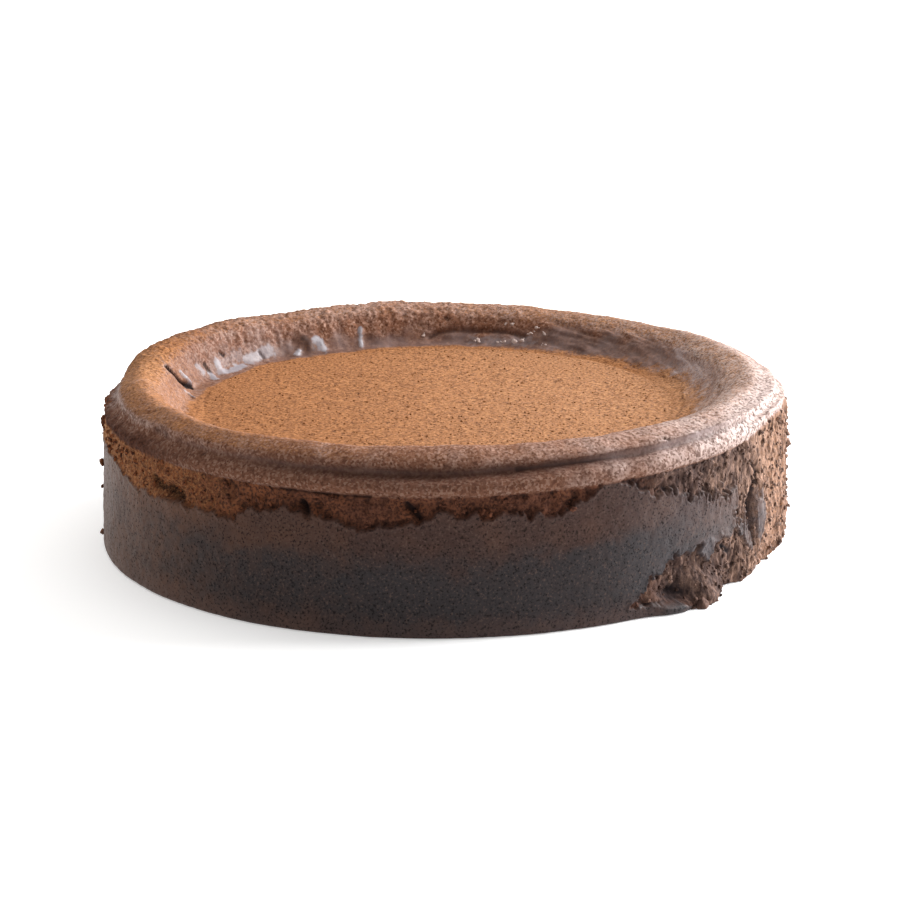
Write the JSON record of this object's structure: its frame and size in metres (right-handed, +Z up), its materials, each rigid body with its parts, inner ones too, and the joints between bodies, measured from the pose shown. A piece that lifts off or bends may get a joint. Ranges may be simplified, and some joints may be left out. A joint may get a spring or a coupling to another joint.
{
  "type": "flourless chocolate cake",
  "caption": "Round uncut flourless chocolate cake with a sunken cocoa-dusted top, a puffed crust rim and a torn crumb edge.",
  "frame": {"origin": "middle of the flat base, on the surface the cake rests on", "axes": "+Z up through the middle of the cake, -Y towards the shown front"},
  "size_m": [0.2382, 0.2372, 0.0598],
  "materials": {
    "chocolate_crust": "matte"
  },
  "bodies": {
    "root": {"cake": "chocolate_crust"}
  },
  "joints": []
}
